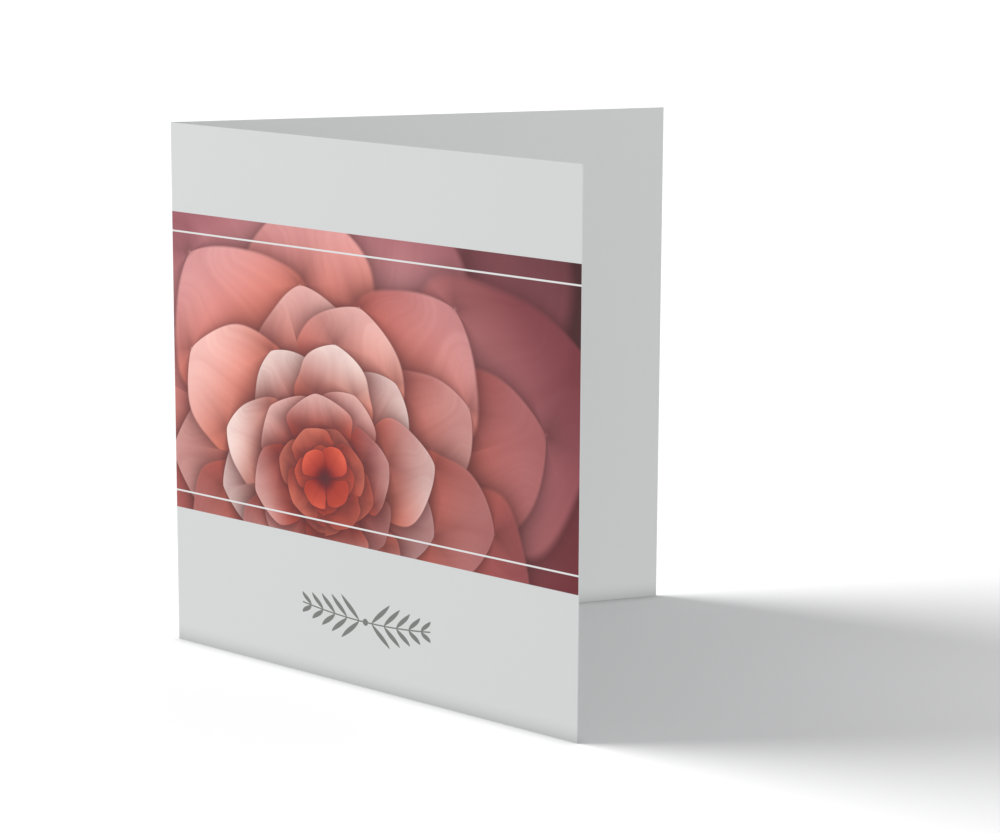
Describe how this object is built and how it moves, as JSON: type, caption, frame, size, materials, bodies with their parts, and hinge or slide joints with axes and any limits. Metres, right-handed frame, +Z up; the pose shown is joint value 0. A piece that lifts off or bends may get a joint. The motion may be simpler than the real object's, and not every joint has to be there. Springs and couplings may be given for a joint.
{
  "type": "greeting card",
  "caption": "Square greeting card of white board, scored and folded once, standing open, with a printed picture across its front.",
  "frame": {"origin": "centre of the card's footprint, on the surface that it stands on", "axes": "+Z up, +X from the fold towards the open side, midway between the covers, -Y out of the front cover and +Y out of the back cover"},
  "size_m": [0.1294, 0.1528, 0.15],
  "materials": {
    "white_board": "smooth matt white board, printed on its front"
  },
  "bodies": {
    "root": {"folded_card": "white_board"}
  },
  "joints": []
}
